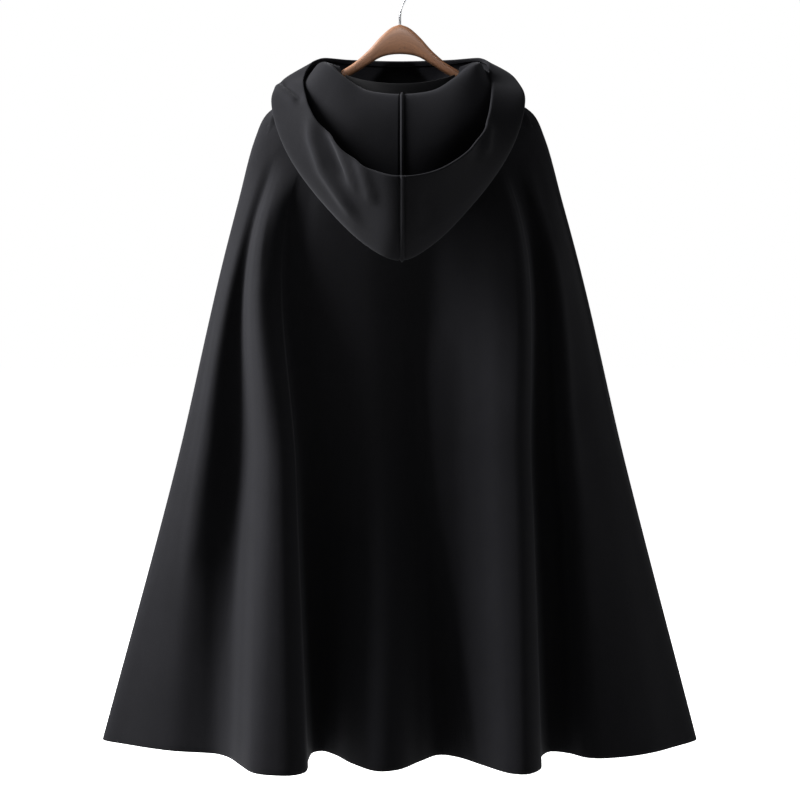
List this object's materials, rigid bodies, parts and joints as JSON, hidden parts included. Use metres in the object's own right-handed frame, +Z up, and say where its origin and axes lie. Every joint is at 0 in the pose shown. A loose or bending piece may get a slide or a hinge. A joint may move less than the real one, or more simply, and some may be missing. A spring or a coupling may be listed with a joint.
{
  "type": "hooded poncho on a hanger",
  "caption": "Hooded pull-over poncho of heavy felted wool, hood lying down the back, hanging on a wooden yoke hanger with a steel hook.",
  "frame": {"origin": "the point under the hook's crown where a rail carries it", "axes": "+Z up; the garment's back faces -Y, its front faces +Y, and +X is on the right seen from behind"},
  "size_m": [0.861, 0.377, 1.1137],
  "materials": {
    "wool": "felted, matt with a faint nap",
    "tape": "twill woven",
    "wood": "stained, satin lacquer",
    "steel": "polished"
  },
  "bodies": {
    "root": {"back_panel": "wool", "front_panel": "wool", "hood_left": "wool", "hood_right": "wool", "neck_tape": "tape", "hanger": "wood", "hook": "steel"}
  },
  "joints": []
}
